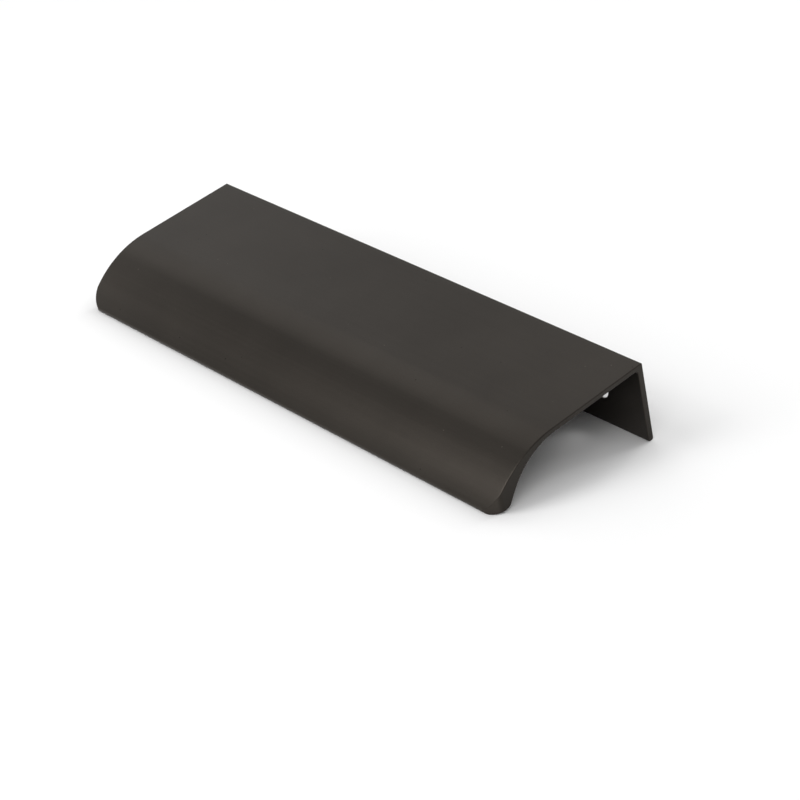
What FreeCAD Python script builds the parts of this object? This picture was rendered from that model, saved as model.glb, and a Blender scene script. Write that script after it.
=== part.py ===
import FreeCAD
import Part
import math
import os

# One length of extruded profile for a handleless door: a cover plate that lies on the door's edge,
# a back flange that is screwed to the door's back, and a curved lip that the fingers pull.
# The section is drawn with the cover plate level. "depth" runs from the outer face of the back
# flange towards the lip, and "drop" runs down from the top of the cover plate.
# All sizes are in millimetres and all angles in degrees.

length = 120.0              # cut length of the stock
plate_wall = 1.0            # cover plate
flange_wall = 1.3           # back flange
flange_drop = 17.0          # back flange, measured over the cover plate
flat_depth = 22.8           # level part of the cover plate, up to where the lip starts to fall
crown_radius = 20.5         # outside of the falling lip
crown_slope = 52.8          # slope of the outside of the lip where it turns into the nose
nose_radius = 0.75          # rounded front edge of the lip
nose_land = 2.6             # flat underside of the lip
heel_radius = 1.4           # rounded rear edge of that underside
cove_slope = 55.0           # slope of the rear of the lip
cove_radius = 13.6          # finger hollow between the rear of the lip and the cover plate
lip_corner = 3.4            # rounded corners of the lip, seen from above the plate
corner_clear = 0.05         # how far the circle of such a corner passes outside the nose and the sawn end
corner_radius = 0.3         # outer corner of plate and flange
inner_fillet = 0.8          # inner corner of plate and flange
toe_flat = 0.4              # flat left between the two rounded edges of the flange's toe
end_break = 0.15            # broken edges round the two sawn ends
hole_diameter = 4.5         # screw holes in the back flange
hole_land = 0.3             # straight part of a screw hole, next to the door
countersink_angle = 90.0    # included angle of the countersink on the outer face
hole_end_distance = 11.0    # centre of a screw hole from its sawn end
cut_overrun = 1.0           # how far a cutting tool runs past the faces that it cuts


def along(angle):
    """Step along a slope that falls by the angle, as depth and drop."""
    return FreeCAD.Vector(math.cos(math.radians(angle)), math.sin(math.radians(angle)), 0)


def below(angle):
    """Step square to that slope, on its lower side."""
    return FreeCAD.Vector(-math.sin(math.radians(angle)), math.cos(math.radians(angle)), 0)


def at(depth, drop):
    return FreeCAD.Vector(depth, drop, 0)


def arc_through(centre, radius, first, last):
    """Arc from the direction first to the direction last, in degrees from +depth towards +drop."""
    middle = (first + last) / 2
    return [centre + along(angle) * radius for angle in (first, middle, last)]


def lip_outside():
    """Crown and nose: the outside of the lip, from the level plate round to the underside."""
    crown_centre = at(flat_depth, crown_radius)
    nose_centre = crown_centre - below(crown_slope) * (crown_radius - nose_radius)
    crown = arc_through(crown_centre, crown_radius, -90, crown_slope - 90)
    nose = arc_through(nose_centre, nose_radius, crown_slope - 90, 90)
    return crown, nose, nose_centre


def lip_underside(nose_centre):
    """Heel and cove: the rear of the lip, back up to the underside of the plate."""
    heel_centre = nose_centre + at(-nose_land, nose_radius - heel_radius)
    heel = arc_through(heel_centre, heel_radius, 90, cove_slope + 90)
    cove_end_drop = plate_wall + cove_radius * (1 - math.cos(math.radians(cove_slope)))
    rise = (heel[2].y - cove_end_drop) / math.sin(math.radians(cove_slope))
    cove_end = heel[2] - along(cove_slope) * rise
    cove_centre = cove_end + below(cove_slope) * cove_radius
    cove = arc_through(cove_centre, cove_radius, cove_slope - 90, -90)
    return heel, cove


def toe_radius():
    """Radius of both edges of the flange's toe."""
    return (flange_wall - toe_flat) / 2


def flange_outline():
    """Inner fillet, toe and outer corner, from the underside of the plate round to its top."""
    toe = toe_radius()
    fillet_centre = at(flange_wall + inner_fillet, plate_wall + inner_fillet)
    fillet = arc_through(fillet_centre, inner_fillet, 270, 180)
    toe_inner = arc_through(at(flange_wall - toe, flange_drop - toe), toe, 0, 90)
    toe_outer = arc_through(at(toe, flange_drop - toe), toe, 90, 180)
    corner = arc_through(at(corner_radius, corner_radius), corner_radius, 180, 270)
    return [fillet, toe_inner, toe_outer, corner]


def section_face():
    """Closed section: the arcs in order, with a straight stretch wherever two of them don't touch."""
    crown, nose, nose_centre = lip_outside()
    heel, cove = lip_underside(nose_centre)
    arcs = [crown, nose, heel, cove] + flange_outline()
    edges = []
    for number, arc in enumerate(arcs):
        following = arcs[(number + 1) % len(arcs)]
        edges.append(Part.Arc(*arc).toShape())
        if (following[0] - arc[2]).Length > 1e-6:
            edges.append(Part.LineSegment(arc[2], following[0]).toShape())
    return Part.Face(Part.Wire(edges))


def sawn_stock():
    """The section run along the stock, with the edges of both sawn ends broken."""
    stock = section_face().extrude(FreeCAD.Vector(0, 0, length))
    ends = [face for face in stock.Faces if face.BoundBox.ZLength < 1e-6]
    rims = [edge for face in ends for edge in face.Edges]
    return stock.makeChamfer(end_break, rims)


def corner_cuts():
    """Tools that round the two corners of the lip: blocks with the corner's own cylinder left out."""
    reach = lip_corner - corner_clear
    side = reach + cut_overrun
    height = flange_drop + 2 * cut_overrun
    centre = FreeCAD.Vector(lip_outside()[2].x + nose_radius - reach, -cut_overrun, reach)
    block = Part.makeBox(side, height, side, centre - FreeCAD.Vector(0, 0, side))
    first = block.cut(Part.makeCylinder(lip_corner, height, centre, FreeCAD.Vector(0, 1, 0)))
    last = first.mirror(FreeCAD.Vector(0, 0, length / 2), FreeCAD.Vector(0, 0, 1))
    return [first, last]


def screw_hole(place):
    """Tool for one countersunk hole: straight at the inner face, wide at the outer face."""
    radius = hole_diameter / 2
    hole_drop = (plate_wall + flange_drop) / 2
    sink_depth = flange_wall - hole_land
    sink_length = sink_depth + cut_overrun
    sink_radius = radius + sink_length * math.tan(math.radians(countersink_angle / 2))
    hole_start = FreeCAD.Vector(flange_wall + cut_overrun, hole_drop, place)
    sink_start = FreeCAD.Vector(sink_depth, hole_drop, place)
    towards_back = FreeCAD.Vector(-1, 0, 0)
    straight = Part.makeCylinder(radius, flange_wall + cut_overrun, hole_start, towards_back)
    sink = Part.makeCone(radius, sink_radius, sink_length, sink_start, towards_back)
    return straight.fuse(sink)


def finger_pull():
    """The finished profile, still in section coordinates, with the length along the third axis."""
    holes = [screw_hole(hole_end_distance), screw_hole(length - hole_end_distance)]
    return sawn_stock().cut(corner_cuts() + holes).removeSplitter()


def rest_slope():
    """Slope of the plate when the flange's toe and the lip's nose both lie on the floor."""
    toe = toe_radius()
    nose_centre = lip_outside()[2]
    reach = nose_centre - at(flange_wall - toe, flange_drop - toe)
    span = math.hypot(reach.x, reach.y)
    return math.degrees(math.asin((toe - nose_radius) / span) - math.atan2(reach.y, reach.x))


def place_on_floor(shape):
    """Stored frame: +X along the stock, the lip towards -Y, +Z up, origin at the bottom centre."""
    frame = FreeCAD.Matrix(0, 0, 1, -length / 2, -1, 0, 0, 0, 0, -1, 0, 0, 0, 0, 0, 1)
    tilt = FreeCAD.Matrix()
    tilt.rotateX(math.radians(rest_slope()))
    to_rest = tilt.multiply(frame)
    toe = toe_radius()
    front = to_rest.multVec(lip_outside()[2])
    back = to_rest.multVec(at(toe, flange_drop - toe))
    middle = (front.y - nose_radius + back.y + toe) / 2
    shift = FreeCAD.Matrix()
    shift.move(FreeCAD.Vector(0, -middle, nose_radius - front.z))
    shape.Placement = FreeCAD.Placement(shift.multiply(to_rest))
    return shape


os.makedirs("parts", exist_ok=True)
profile = place_on_floor(finger_pull())
profile.exportStep("parts/finger_pull_profile.step")
box = profile.optimalBoundingBox()
print("solids", len(profile.Solids), "valid", profile.isValid(), "volume", round(profile.Volume, 2))
print("size", round(box.XLength, 3), round(box.YLength, 3), round(box.ZLength, 3))
print("low corner", round(box.XMin, 3), round(box.YMin, 3), round(box.ZMin, 3))
print("slope of the plate at rest", round(rest_slope(), 3))
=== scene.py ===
import bpy
import bmesh
import math
import numpy as np
from mathutils import Matrix, Vector


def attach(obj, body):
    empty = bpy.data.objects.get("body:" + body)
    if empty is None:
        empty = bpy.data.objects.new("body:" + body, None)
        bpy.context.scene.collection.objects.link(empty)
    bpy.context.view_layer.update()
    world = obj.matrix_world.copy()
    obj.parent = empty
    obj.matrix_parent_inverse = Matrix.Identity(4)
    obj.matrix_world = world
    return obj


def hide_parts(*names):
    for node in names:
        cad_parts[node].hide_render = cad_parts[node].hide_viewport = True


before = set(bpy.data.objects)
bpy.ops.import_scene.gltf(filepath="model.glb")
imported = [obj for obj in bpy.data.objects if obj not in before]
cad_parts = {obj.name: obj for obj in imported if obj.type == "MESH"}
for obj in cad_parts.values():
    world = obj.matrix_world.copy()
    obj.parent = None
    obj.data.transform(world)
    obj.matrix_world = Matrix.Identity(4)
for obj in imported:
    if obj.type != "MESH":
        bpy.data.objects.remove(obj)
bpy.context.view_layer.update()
print("frame loaded:", sorted(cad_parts))

# the section in metres and degrees, the same sizes as the solid has
# depth runs from the flange's outer face to the lip, drop runs down from the top of the plate
pullProfile = {
    "length": 0.1200,
    "plateWall": 0.0010,
    "flangeWall": 0.0013,
    "flangeDrop": 0.0170,
    "flatDepth": 0.0228,
    "crownRadius": 0.0205,
    "crownSlope": 52.8,
    "noseRadius": 0.00075,
    "noseLand": 0.0026,
    "heelRadius": 0.0014,
    "coveSlope": 55.0,
    "coveRadius": 0.0136,
    "lipCorner": 0.0034,
    "cornerClear": 0.00005,
    "cornerRadius": 0.0003,
    "innerFillet": 0.0008,
    "toeFlat": 0.0004,
    "endBreak": 0.00015,
    "holeDiameter": 0.0045,
    "holeLand": 0.0003,
    "countersinkAngle": 90.0,
    "holeEndDistance": 0.0110,
    "holeWindow": 0.0045,      # half side of the square patch of flange round a hole
    "tipHalfAngle": 2.5,       # where the outside and the inside meet on the nose
    "mergeGap": 1e-6,          # points closer than this become one
    "sharpAngle": 30.0,        # edges that turn by more stay crisp
}

# steps along each stretch of the section and along the stock
profileSteps = {
    "toe": 8, "flangeLow": 4, "window": 24, "flangeHigh": 5, "corner": 10, "plate": 24,
    "cove": 44, "rear": 16, "nose": 40, "heel": 14, "land": 8, "wall": 14,
    "endBreak": 5, "endRun": 8, "middleRun": 44,
    "wallInset": 0.06,                        # first and last step across the wall, as a share of it
    "behindEdge": 1.3,                        # first plain row, in end breaks from the end
    "patchRings": (0, 0.03, 0.3, 0.65, 1),    # from a hole's rim to its square patch
    "sinkRings": (0.04, 0.5, 0.96, 1),        # down the countersink
    "landRings": (0.1, 0.9, 1),               # along the hole's straight land
}


def slopeStep(angle):
    # unit step down a slope: (cos, sin) of the angle
    return np.array([math.cos(math.radians(angle)), math.sin(math.radians(angle))])


def squareStep(angle):
    # unit step square to that slope, on its lower side: (-sin, cos)
    return np.array([-math.sin(math.radians(angle)), math.cos(math.radians(angle))])


def arcRun(centre, radius, first, last, steps, bulge):
    # points = centre + radius * (cos, sin) of evenly spaced angles
    # the outward normal is the same ray, turned round where the arc is hollow
    angles = np.radians(np.linspace(first, last, steps + 1))
    ray = np.column_stack((np.cos(angles), np.sin(angles)))
    return np.array(centre) + radius * ray, bulge * ray


def straightRun(start, end, shares, hand):
    # points = start + share * (end - start), with one normal, square to the run
    start, end = np.array(start), np.array(end)
    way = (end - start) / np.linalg.norm(end - start)
    points = start + np.asarray(shares)[:, None] * (end - start)
    return points, np.tile(hand * np.array([way[1], -way[0]]), (len(points), 1))


def chainRuns(runs):
    # runs end to end, each without the point it shares with the one before
    points = np.concatenate([runs[0][0]] + [run[0][1:] for run in runs[1:]])
    normals = np.concatenate([runs[0][1]] + [run[1][1:] for run in runs[1:]])
    return points, normals


def windowShares(half, steps):
    # half * tan of evenly spaced angles from -45 to 45 degrees, so that rays from the middle are evenly spread
    return half * np.tan(np.radians(np.linspace(-45, 45, steps + 1)))


def sectionSides(s, n):
    # the outside and the inside of the section, both from the flange's toe to the tip of the nose,
    # with as many points each, so that a rung can join each pair across the wall
    toe = (s["flangeWall"] - s["toeFlat"]) / 2
    wall, plate, fillet, corner = s["flangeWall"], s["plateWall"], s["innerFillet"], s["cornerRadius"]
    toeDrop = s["flangeDrop"] - toe
    crownCentre = np.array([s["flatDepth"], s["crownRadius"]])
    noseCentre = crownCentre - squareStep(s["crownSlope"]) * (s["crownRadius"] - s["noseRadius"])
    heelCentre = noseCentre + np.array([-s["noseLand"], s["noseRadius"] - s["heelRadius"]])
    heelTop = heelCentre + slopeStep(s["coveSlope"] + 90) * s["heelRadius"]
    coveDrop = plate + s["coveRadius"] * (1 - math.cos(math.radians(s["coveSlope"])))
    rise = (heelTop[1] - coveDrop) / math.sin(math.radians(s["coveSlope"]))
    coveFoot = heelTop - slopeStep(s["coveSlope"]) * rise
    coveCentre = coveFoot + squareStep(s["coveSlope"]) * s["coveRadius"]
    holeDrop = (plate + s["flangeDrop"]) / 2
    tip, tipHalf = s["crownSlope"] / 2, s["tipHalfAngle"]

    def flangeRun(depth, top, hand):
        # up the flange, with rows that carry the window round a hole
        low = np.linspace(toeDrop, holeDrop + s["holeWindow"], n["flangeLow"] + 1)
        middle = holeDrop - windowShares(s["holeWindow"], n["window"])
        high = np.linspace(holeDrop - s["holeWindow"], top, n["flangeHigh"] + 1)
        drops = np.concatenate((low, middle[1:], high[1:]))
        return straightRun((depth, toeDrop), (depth, top), (toeDrop - drops) / (toeDrop - top), hand)

    def even(steps):
        # shares from 0 to 1 in even steps
        return np.linspace(0, 1, steps + 1)

    outside = chainRuns([
        arcRun((toe, toeDrop), toe, 90, 180, n["toe"], 1),
        flangeRun(0, corner, 1),
        arcRun((corner, corner), corner, 180, 270, n["corner"], 1),
        straightRun((corner, 0), (s["flatDepth"], 0), even(n["plate"]), 1),
        arcRun(crownCentre, s["crownRadius"], -90, s["crownSlope"] - 90, n["cove"] + n["rear"], 1),
        arcRun(noseCentre, s["noseRadius"], s["crownSlope"] - 90, tip - tipHalf, n["nose"], 1),
    ])
    inside = chainRuns([
        arcRun((wall - toe, toeDrop), toe, 90, 0, n["toe"], 1),
        flangeRun(wall, plate + fillet, -1),
        arcRun((wall + fillet, plate + fillet), fillet, 180, 270, n["corner"], -1),
        straightRun((wall + fillet, plate), (coveCentre[0], plate), even(n["plate"]), -1),
        arcRun(coveCentre, s["coveRadius"], -90, s["coveSlope"] - 90, n["cove"], -1),
        straightRun(coveFoot, heelTop, even(n["rear"]), -1),
        arcRun(heelCentre, s["heelRadius"], s["coveSlope"] + 90, 90, n["heel"], 1),
        straightRun(heelCentre + np.array([0, s["heelRadius"]]), noseCentre + np.array([0, s["noseRadius"]]),
                    even(n["land"]), -1),
        arcRun(noseCentre, s["noseRadius"], 90, tip + tipHalf, n["nose"] - n["heel"] - n["land"], 1),
    ])
    return outside, inside, noseCentre, holeDrop


def stockStations(s, n):
    # places along the stock and how far the section draws in there: at a broken end edge the place is
    # end - edge + edge * sin and the draw is edge - edge * cos of an angle from 0 to 90 degrees
    half, edge = s["length"] / 2, s["endBreak"]
    turn = np.radians(np.linspace(90, 0, n["endBreak"] + 1))
    endPlaces, endDraws = half - edge + edge * np.sin(turn), edge - edge * np.cos(turn)
    holePlace, window = half - s["holeEndDistance"], s["holeWindow"]
    # the first plain row is close behind the edge, so that the edge's shading stays on the edge
    sideRun = np.linspace(half - edge * n["behindEdge"], holePlace + window, n["endRun"] + 1)
    windowRun = holePlace - windowShares(window, n["window"])
    middleRun = np.linspace(holePlace - window, -holePlace + window, n["middleRun"] + 1)[1:-1]
    near = np.concatenate((endPlaces, sideRun, windowRun[1:]))
    places = np.concatenate((near, middleRun, -near[::-1]))
    draws = np.zeros(len(places))
    draws[:len(endDraws)] = endDraws
    draws[-len(endDraws):] = endDraws[::-1]
    # how much of a corner's rounding each place takes up: all of it at the end, none at the hole's window
    shares = np.clip((np.abs(places) - holePlace - window) / (half - edge - holePlace - window), 0, 1)
    firstColumn = n["endBreak"] + 1 + n["endRun"]
    return places, draws, shares, firstColumn, holePlace


def cornerLoss(s, noseCentre, depth):
    # how much shorter the stock is in the lip's rounded corner:
    # reach - sqrt(radius^2 - (depth - centre)^2)
    reach = s["lipCorner"] - s["cornerClear"]
    beyond = np.maximum(depth - (noseCentre[0] + s["noseRadius"] - reach), 0)
    return np.maximum(reach - np.sqrt(s["lipCorner"] ** 2 - beyond ** 2), 0)


def gridFaces(rows, columns, closed):
    # quads of a grid whose points are numbered row by row; a closed grid joins its last column to its first
    row = np.arange(rows - 1)[:, None]
    column = np.arange(columns if closed else columns - 1)[None, :]
    right = (column + 1) % columns
    corners = (row * columns + column, row * columns + right,
               (row + 1) * columns + right, (row + 1) * columns + column)
    return np.stack([np.broadcast_to(c, (rows - 1, column.size)) for c in corners], axis=-1)


def slopeAtRest(s, noseCentre):
    # nose and toe both touch the floor: asin((toe - nose) / span) - atan2(drop, depth) of the line between
    # their centres, toe and nose being the two radii
    toe = (s["flangeWall"] - s["toeFlat"]) / 2
    reach = noseCentre - np.array([s["flangeWall"] - toe, s["flangeDrop"] - toe])
    return math.asin((toe - s["noseRadius"]) / math.hypot(*reach)) - math.atan2(reach[1], reach[0])


def restPlace(points, s, noseCentre):
    # depth and drop to the floor frame: lip towards -Y, turned about X by the slope at rest, then set on the
    # floor with the origin midway between the front of the nose and the back of the toe
    toe = (s["flangeWall"] - s["toeFlat"]) / 2
    slope = slopeAtRest(s, noseCentre)
    turn = np.array([[-math.cos(slope), math.sin(slope)], [-math.sin(slope), -math.cos(slope)]])
    front = turn @ noseCentre
    back = turn @ np.array([toe, s["flangeDrop"] - toe])
    shift = np.array([-(front[0] - s["noseRadius"] + back[0] + toe) / 2, s["noseRadius"] - front[1]])
    flat = points[..., 1:] @ turn.T + shift
    return np.concatenate((points[..., :1], flat), axis=-1)


def sinkRadius(s):
    # the countersink at the flange's outer face: hole radius + depth of the sink * tan of half its angle
    sink = s["flangeWall"] - s["holeLand"]
    return s["holeDiameter"] / 2 + sink * math.tan(math.radians(s["countersinkAngle"] / 2))


def holeSurface(s, n, holePlace, holeDrop):
    # one surface through the flange: square window, countersink, straight land and square window again
    # each ring is a circle, or share * square + (1 - share) * circle along the same rays
    side = windowShares(s["holeWindow"], n["window"])
    reach = np.full(n["window"], s["holeWindow"])
    square = np.concatenate((np.column_stack((side[:-1], -reach)), np.column_stack((reach, side[:-1])),
                             np.column_stack((-side[:-1], reach)), np.column_stack((-reach, -side[:-1]))))
    ray = square / np.linalg.norm(square, axis=1, keepdims=True)
    radius, wide = s["holeDiameter"] / 2, sinkRadius(s)
    sink = s["flangeWall"] - s["holeLand"]
    mouth = [(share, wide, 0.0) for share in n["patchRings"][::-1]]
    bore = [(0, wide - (wide - radius) * part, sink * part) for part in n["sinkRings"]]
    bore += [(0, radius, sink + s["holeLand"] * part) for part in n["landRings"]]
    seat = [(share, radius, s["flangeWall"]) for share in n["patchRings"][1:]]
    rings = np.array(mouth + bore + seat)
    spread = rings[:, :1, None] * square + (1 - rings[:, :1, None]) * rings[:, 1:2, None] * ray
    depth = np.broadcast_to(rings[:, 2:3, None], spread.shape[:2] + (1,))
    return np.concatenate((spread[..., :1] + holePlace, depth, spread[..., 1:] + holeDrop), axis=-1)


def meshFromGrids(name, grids, mergeGap, sharpAngle):
    # grids of points with their quads, joined where they share points, faces turned outwards
    counts = np.cumsum([0] + [len(points) for points, quads in grids])
    points = np.concatenate([g[0] for g in grids])
    quads = np.concatenate([g[1] + start for g, start in zip(grids, counts)])
    used, renumbered = np.unique(quads, return_inverse=True)
    points, quads = points[used], renumbered.reshape(-1, 4)
    mesh = bpy.data.meshes.new(name)
    mesh.vertices.add(len(points))
    mesh.vertices.foreach_set("co", points.astype(np.float32).ravel())
    mesh.loops.add(quads.size)
    mesh.loops.foreach_set("vertex_index", quads.astype(np.int32).ravel())
    mesh.polygons.add(len(quads))
    mesh.polygons.foreach_set("loop_start", np.arange(0, quads.size, 4, dtype=np.int32))
    mesh.update(calc_edges=True)
    work = bmesh.new()
    work.from_mesh(mesh)
    bmesh.ops.remove_doubles(work, verts=work.verts, dist=mergeGap)
    bmesh.ops.recalc_face_normals(work, faces=work.faces)
    work.to_mesh(mesh)
    work.free()
    mesh.validate()
    mesh.shade_smooth()
    mesh.set_sharp_from_angle(angle=math.radians(sharpAngle))
    piece = bpy.data.objects.new(name, mesh)
    bpy.context.scene.collection.objects.link(piece)
    return piece


def buildProfile(s, n):
    # the closed section carried along the stock, two sawn ends and two screw holes, joined into one skin
    (outside, outNormals), (inside, inNormals), noseCentre, holeDrop = sectionSides(s, n)
    places, draws, cornerShares, firstColumn, holePlace = stockStations(s, n)
    inset = n["wallInset"]
    shares = np.concatenate(([0], np.linspace(inset, 1 - inset, n["wall"]), [1]))    # steps across the wall
    rungs = shares[1:-1, None]

    def across(a, b):
        # a * (1 - rung) + b * rung
        return a * (1 - rungs) + b * rungs

    # the section: up the outside, across the tip, back down the inside, across the toe
    ring = np.concatenate((outside, across(outside[-1], inside[-1]),
                           inside[::-1], across(inside[0], outside[0])))
    normals = np.concatenate((outNormals, across(outNormals[-1], inNormals[-1]),
                              inNormals[::-1], across(inNormals[0], outNormals[0])))
    normals = normals / np.linalg.norm(normals, axis=1, keepdims=True)

    # sides: drawn in along the normals at the broken end edges and shortened at the corners of the lip,
    # with square windows left open for the holes
    carried = ring[None] - draws[:, None, None] * normals[None]
    loss = np.sign(places)[:, None] * cornerShares[:, None] * cornerLoss(s, noseCentre, carried[..., 0])
    sides = np.concatenate(((places[:, None] - loss)[..., None], carried), axis=-1)
    quads = gridFaces(len(places), len(ring), True)
    keep = np.ones(quads.shape[:2], bool)
    firstRow, window = n["toe"] + n["flangeLow"], n["window"]
    rowPairs = (firstRow, len(ring) - len(rungs) - 1 - firstRow - window)
    columnPairs = (firstColumn, len(places) - 1 - firstColumn - window)
    for column in columnPairs:
        for row in rowPairs:
            keep[column:column + window, row:row + window] = False
    grids = [(sides.reshape(-1, 3), quads[keep])]

    # sawn ends: rungs across the wall from toe to tip
    for end in (0, len(places) - 1):
        outer = (outside - draws[end] * outNormals)[:, None]
        inner = (inside - draws[end] * inNormals)[:, None]
        face = outer * (1 - shares[:, None]) + inner * shares[:, None]
        lift = places[end] - np.sign(places[end]) * cornerLoss(s, noseCentre, face[..., :1])
        grids.append((np.concatenate((lift, face), axis=-1).reshape(-1, 3),
                      gridFaces(face.shape[0], face.shape[1], False).reshape(-1, 4)))

    for sign in (1, -1):
        hole = holeSurface(s, n, sign * holePlace, holeDrop)
        grids.append((hole.reshape(-1, 3), gridFaces(hole.shape[0], hole.shape[1], True).reshape(-1, 4)))

    grids = [(restPlace(points, s, noseCentre), faces) for points, faces in grids]
    holeCentre = restPlace(np.array([[holePlace, 0, holeDrop]]), s, noseCentre)[0]
    piece = meshFromGrids("extrudedPull", grids, s["mergeGap"], s["sharpAngle"])
    return piece, slopeAtRest(s, noseCentre), holeCentre, noseCentre


pull, restSlope, holeCentre, noseCentre = buildProfile(pullProfile, profileSteps)
print("profile built:", len(pull.data.vertices), "points,", len(pull.data.polygons), "faces")

# satin anodised skin: dark bronze with an etched grain, faint die lines along the stock, a few specks,
# sawn ends made a little darker by painted shade, painted shade on their rounded edges, and turned rings in
# the countersinks
bronzeSkin = {
    "colour": (0.0571, 0.0503, 0.0435),
    "roughness": 0.31,
    "noiseSpan": (0.25, 0.75), "noiseRough": 0.55,    # the part of a noise that is used, and how rugged it is
    "mottleSize": 0.016, "mottleDepth": 0.05,         # slow patches of the dye
    "lineWidth": 0.0005, "lineLength": 0.09, "lineDepth": 0.014, "lineGloss": 0.015, "lineHeight": 0.0000012,
    "grainSize": 0.00016, "grainDepth": 0.05, "grainHeight": 0.000004,
    "speckSpacing": 0.0042, "speckShift": (1.0, 1.7, 0.6), "speckCore": 0.5,    # the core is at full strength
    "lightSpeck": {"seed": 0.31, "radius": 0.00016, "tone": 1.9},
    "darkSpeck": {"seed": 5.83, "radius": 0.000192, "tone": 0.55},
    # the sawn ends' tone below is painted shade that darkens their colour; the saw marks themselves are relief
    "sawnShadeTone": 0.63, "sawnRough": 0.08, "sawPitch": 0.00022, "sawStretch": 0.02, "sawSlant": 24.0,
    "sawHeight": 0.000008,
    "sawnEdge": (0.5, 0.05), "rimEdge": (1.4, 1.0),   # where they start and are full, in end breaks
    "sawnFade": 0.0004,                               # the sawn look ends where a corner is this much shorter
    # the rim tone below is painted shade that darkens the rounded end edges and damps their highlight
    "rimShadeTone": 0.85,
    "turnedTone": 1.15, "turnedRough": -0.08, "turnedPitch": 0.00011, "turnedHeight": 0.000004,
    "holeSlack": 0.00001,
}


def addNode(tree, kind, settings=None, **sockets):
    # a node with its settings; each socket gets a value or a link
    node = tree.nodes.new(kind)
    for name, value in (settings or {}).items():
        setattr(node, name, value)
    for name, value in sockets.items():
        socket = node.inputs[int(name[1:])] if name[1:].isdigit() else node.inputs[name.replace("_", " ")]
        if isinstance(value, bpy.types.NodeSocket):
            tree.links.new(value, socket)
        else:
            socket.default_value = value
    return node


def mathNode(tree, operation, *values):
    # one step of arithmetic on numbers or links
    return addNode(tree, "ShaderNodeMath", {"operation": operation},
                   **{"i%d" % i: value for i, value in enumerate(values)}).outputs[0]


def rampNode(tree, value, fromLow, fromHigh, toLow, toHigh, smooth=True):
    # low to high, kept between the two ends
    kind = "SMOOTHSTEP" if smooth else "LINEAR"
    return addNode(tree, "ShaderNodeMapRange", {"interpolation_type": kind, "clamp": True}, Value=value,
                   From_Min=fromLow, From_Max=fromHigh, To_Min=toLow, To_Max=toHigh).outputs[0]


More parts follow.
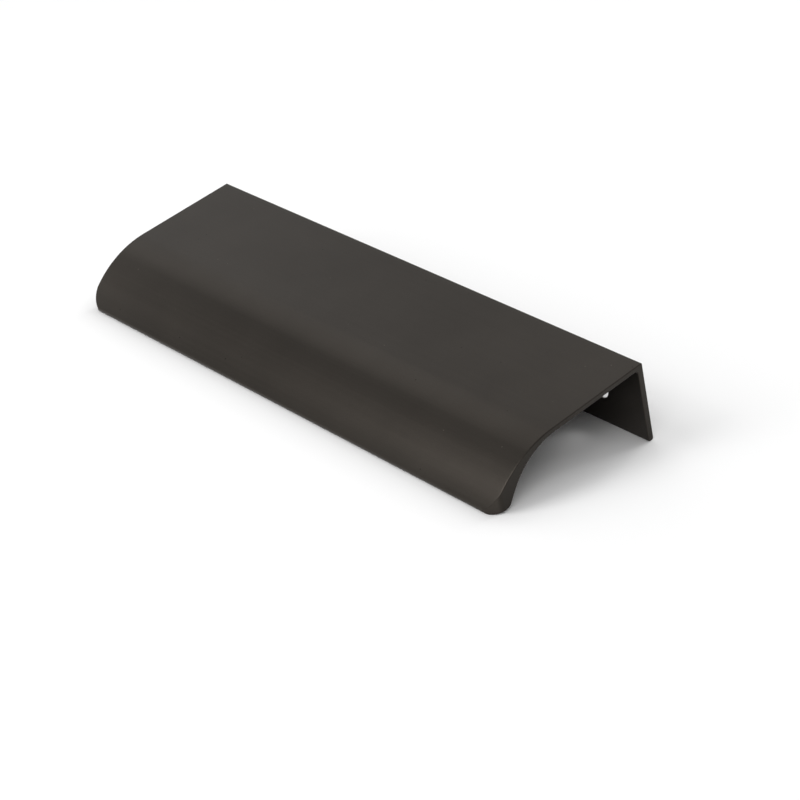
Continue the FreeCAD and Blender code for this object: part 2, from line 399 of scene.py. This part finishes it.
def bronzeMaterial(b, s, slope, holeCentre, noseCentre):
    # colour = dye * all tones, roughness = base + all changes, height = sum of the fine reliefs
    material = bpy.data.materials.new("darkBronzeAnodised")
    material.use_nodes = True
    tree = material.node_tree
    shader = tree.nodes["Principled BSDF"]
    shader.inputs["Metallic"].default_value = 1.0
    place = addNode(tree, "ShaderNodeTexCoord").outputs["Object"]

    def times(first, second):
        return mathNode(tree, "MULTIPLY", first, second)    # first * second

    def plus(first, second):
        return mathNode(tree, "ADD", first, second)    # first + second

    def minus(first, second):
        return mathNode(tree, "SUBTRACT", first, second)    # first - second

    def notBelowZero(value):
        return mathNode(tree, "MAXIMUM", value, 0.0)    # the larger of the value and 0

    def noise(scale, detail, rotation=(0, 0, 0)):
        # cloudy noise on the place times the scale, turned by the rotation
        spot = addNode(tree, "ShaderNodeMapping", {"vector_type": "POINT"}, Vector=place, Scale=scale,
                       Rotation=rotation).outputs[0]
        return addNode(tree, "ShaderNodeTexNoise", Vector=spot, Scale=1.0, Detail=detail,
                       Roughness=b["noiseRough"]).outputs["Fac"]

    def specks(seed, radius):
        # 1 inside small round spots, one spot in each cell of the spacing; the seed moves the cells
        scale = 1 / b["speckSpacing"]
        spot = addNode(tree, "ShaderNodeMapping", {"vector_type": "POINT"}, Vector=place,
                       Location=[seed * part for part in b["speckShift"]], Scale=(scale,) * 3).outputs[0]
        near = addNode(tree, "ShaderNodeTexVoronoi", {"feature": "F1"}, Vector=spot, Scale=1.0)
        reach = radius * scale
        return rampNode(tree, near.outputs["Distance"], reach * b["speckCore"], reach, 1.0, 0.0)

    def swing(pattern, middle, depth):
        # middle - depth to middle + depth, over the used part of a noise
        return rampNode(tree, pattern, *b["noiseSpan"], middle - depth, middle + depth)

    def where(mask, outsideValue, insideValue):
        # one value where the mask is 0, the other where it is 1
        return rampNode(tree, mask, 0, 1, outsideValue, insideValue, False)

    mottle = noise((1 / b["mottleSize"],) * 3, 2.0)
    lines = noise((1 / b["lineLength"], 1 / b["lineWidth"], 1 / b["lineWidth"]), 3.0)
    grain = noise((1 / b["grainSize"],) * 3, 2.0)

    # the place turned back to the plate's own axes: -Y is depth, Z is height over the middle of the flange
    axes = addNode(tree, "ShaderNodeSeparateXYZ", Vector=place)
    fromMiddle = mathNode(tree, "ABSOLUTE", axes.outputs["X"])
    inPlane = addNode(tree, "ShaderNodeMapping", {"vector_type": "TEXTURE"}, Vector=place,
                      Location=(0, holeCentre[1], holeCentre[2]), Rotation=(slope, 0, 0)).outputs[0]
    flangeAxes = addNode(tree, "ShaderNodeSeparateXYZ", Vector=inPlane)
    behind, upward = flangeAxes.outputs["Y"], flangeAxes.outputs["Z"]

    # how far a spot is along a broken end edge: 0 on the sides, 1 on the sawn face, also round the lip's
    # corner, where the stock is shorter by reach - sqrt(radius^2 - (depth - centre)^2)
    reach = s["lipCorner"] - s["cornerClear"]
    beyond = notBelowZero(minus(-(noseCentre[0] + s["noseRadius"] - reach), behind))
    leg = notBelowZero(minus(s["lipCorner"] ** 2, times(beyond, beyond)))
    loss = notBelowZero(minus(reach, mathNode(tree, "SQRT", leg)))
    toEnd = plus(fromMiddle, loss)
    half, edge = s["length"] / 2, s["endBreak"]
    sawnFrom, sawnFull = (half - edge * breaks for breaks in b["sawnEdge"])
    rimFrom, rimFull = (half - edge * breaks for breaks in b["rimEdge"])
    sawn = rampNode(tree, toEnd, sawnFrom, sawnFull, 0.0, 1.0)
    # the rim: the rounded end edges, which get painted shade
    rim = minus(rampNode(tree, toEnd, rimFrom, rimFull, 0.0, 1.0), sawn)
    sawn = times(sawn, rampNode(tree, loss, 0.0, b["sawnFade"], 1.0, 0.0))    # not in the corners
    saw = noise((1, 1 / b["sawPitch"], b["sawStretch"] / b["sawPitch"]), 2.0,
                (math.radians(b["sawSlant"]), 0, 0))

    # distance from the axis of a screw hole, measured in the plane of the flange; both holes at once
    sideways = minus(fromMiddle, holeCentre[0])
    fromAxis = mathNode(tree, "SQRT", plus(times(sideways, sideways), times(upward, upward)))
    inHole = times(mathNode(tree, "LESS_THAN", fromAxis, sinkRadius(s) + b["holeSlack"]),
                   mathNode(tree, "GREATER_THAN", behind, -s["flangeWall"] + b["holeSlack"]))
    turning = addNode(tree, "ShaderNodeTexNoise", {"noise_dimensions": "1D"}, W=fromAxis,
                      Scale=1 / b["turnedPitch"], Detail=2.0).outputs["Fac"]

    # tone: every pattern multiplies the dye's colour by a number near 1
    tone = swing(mottle, 1, b["mottleDepth"])
    tone = times(tone, swing(lines, 1, b["lineDepth"]))
    tone = times(tone, swing(grain, 1, b["grainDepth"]))
    for speck in (b["lightSpeck"], b["darkSpeck"]):
        tone = times(tone, where(specks(speck["seed"], speck["radius"]), 1.0, speck["tone"]))
    # the sawn-end and rim factors are painted shade; the turned factor is the holes' own lighter metal
    for mask, factor in ((sawn, b["sawnShadeTone"]), (rim, b["rimShadeTone"]), (inHole, b["turnedTone"])):
        tone = times(tone, where(mask, 1.0, factor))
    colour = addNode(tree, "ShaderNodeVectorMath", {"operation": "SCALE"}, i0=b["colour"], Scale=tone)
    tree.links.new(colour.outputs[0], shader.inputs["Base Color"])

    rough = swing(lines, b["roughness"], b["lineGloss"])
    rough = plus(rough, where(sawn, 0.0, b["sawnRough"]))
    rough = plus(rough, where(inHole, 0.0, b["turnedRough"]))
    tree.links.new(rough, shader.inputs["Roughness"])

    # height in metres: etched grain and die lines on the sides, saw marks on the ends, rings in the holes
    height = plus(times(grain, b["grainHeight"]), times(lines, b["lineHeight"]))
    height = plus(height, times(times(saw, sawn), b["sawHeight"]))
    height = plus(height, times(times(turning, inHole), b["turnedHeight"]))
    bump = addNode(tree, "ShaderNodeBump", Strength=1.0, Distance=1.0, Height=height).outputs[0]
    tree.links.new(bump, shader.inputs["Normal"])
    return material


pull.data.materials.append(bronzeMaterial(bronzeSkin, pullProfile, restSlope, holeCentre, noseCentre))
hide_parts("finger_pull_profile")
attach(pull, "root")
print("skin on")

studioFloor = {"half": 16.0, "steps": 32, "colour": (0.95, 0.95, 0.95, 1), "roughness": 0.9, "gloss": 0.0}


def buildFloor(f):
    # flat square: x and y run evenly from -half to half, z is 0
    line = np.linspace(-f["half"], f["half"], f["steps"] + 1)
    x, y = np.meshgrid(line, line)
    points = np.column_stack((x.ravel(), y.ravel(), np.zeros(x.size)))
    quads = gridFaces(line.size, line.size, False).reshape(-1, 4)
    mesh = bpy.data.meshes.new("studioFloor")
    mesh.from_pydata(points.tolist(), [], quads.tolist())
    floor = bpy.data.objects.new("studioFloor", mesh)
    bpy.context.scene.collection.objects.link(floor)
    material = bpy.data.materials.new("paleFloor")
    material.use_nodes = True
    shader = material.node_tree.nodes["Principled BSDF"]
    shader.inputs["Base Color"].default_value = f["colour"]
    shader.inputs["Roughness"].default_value = f["roughness"]
    shader.inputs["Specular IOR Level"].default_value = f["gloss"]
    mesh.materials.append(material)
    return floor


buildFloor(studioFloor)

# soft boxes: where each stands, what it faces, its side in metres and how bright its face is (1 = white)
softBoxes = {
    "backBox": {"place": (0.000, 0.892, 0.803), "aim": (0, 0, 0), "side": 0.6, "glow": 3.9},
    "backLeftBox": {"place": (-0.516, 0.615, 0.892), "aim": (0, 0, 0), "side": 0.5, "glow": 0.44},
    "lowLeftBox": {"place": (-10.17, 5.870, 2.545), "aim": (0, 0, 0), "side": 5.0, "glow": 1.1},
    "leftBox": {"place": (-0.791, 0.139, 0.892), "aim": (0, 0, 0), "side": 0.5, "glow": 0.60},
    "frontBox": {"place": (-0.355, -0.977, 0.600), "aim": (0, 0, 0), "side": 0.5, "glow": 4.4},
    "highFrontBox": {"place": (-0.275, -0.755, 0.892), "aim": (0, 0, 0), "side": 0.5, "glow": 3.7},
    "cameraBox": {"place": (0.573, -0.683, 0.803), "aim": (0, 0, 0), "side": 0.6, "glow": 2.75},
    "farEndCard": {"place": (-0.173, -0.029, 0.061), "aim": (-0.066, -0.010, 0.010),
                   "side": 0.09, "glow": 0.31},
    "farLipCard": {"place": (-0.153, -0.059, 0.027), "aim": (-0.064, -0.018, 0.006),
                   "side": 0.06, "glow": 0.41},
}
studioWorld = {"level": 0.452}


def buildLights(boxes, world):
    # watts = pi * side^2 * glow, which gives a lamp's face that brightness; the sky has one even level
    for name, box in boxes.items():
        lamp = bpy.data.lights.new(name, "AREA")
        lamp.shape = "SQUARE"
        lamp.size = box["side"]
        lamp.energy = math.pi * box["side"] ** 2 * box["glow"]
        holder = bpy.data.objects.new(name, lamp)
        holder.location = box["place"]
        holder.rotation_euler = (Vector(box["aim"]) - Vector(box["place"])).to_track_quat("-Z", "Y").to_euler()
        holder.visible_camera = False
        bpy.context.scene.collection.objects.link(holder)
    sky = bpy.data.worlds.new("studioSky")
    sky.use_nodes = True
    sky.node_tree.nodes["Background"].inputs["Color"].default_value = (1, 1, 1, 1)
    sky.node_tree.nodes["Background"].inputs["Strength"].default_value = world["level"]
    bpy.context.scene.world = sky


buildLights(softBoxes, studioWorld)
print("stage and lights set")

# the camera, in metres, from the straight edges of the stock; roll turns it about its own line of sight
photoCamera = {
    "place": (0.313034, -0.255906, 0.205333),
    "lookAt": (0.027232, -0.011978, 0.008000),
    "roll": -2.249,
    "lens": 105.343,
    "sensor": 36.0,
    "nearest": 0.01, "farthest": 20,
}


def buildCamera(c):
    # moved to its place, turned to what it looks at, then rolled
    lens = bpy.data.cameras.new("photoCamera")
    lens.lens, lens.sensor_width = c["lens"], c["sensor"]
    lens.clip_start, lens.clip_end = c["nearest"], c["farthest"]
    camera = bpy.data.objects.new("photoCamera", lens)
    facing = (Vector(c["lookAt"]) - Vector(c["place"])).to_track_quat("-Z", "Y").to_matrix().to_4x4()
    camera.matrix_world = (Matrix.Translation(Vector(c["place"])) @ facing
                           @ Matrix.Rotation(math.radians(c["roll"]), 4, "Z"))
    bpy.context.scene.collection.objects.link(camera)
    bpy.context.scene.camera = camera


buildCamera(photoCamera)
bpy.context.scene.view_settings.view_transform = "Standard"
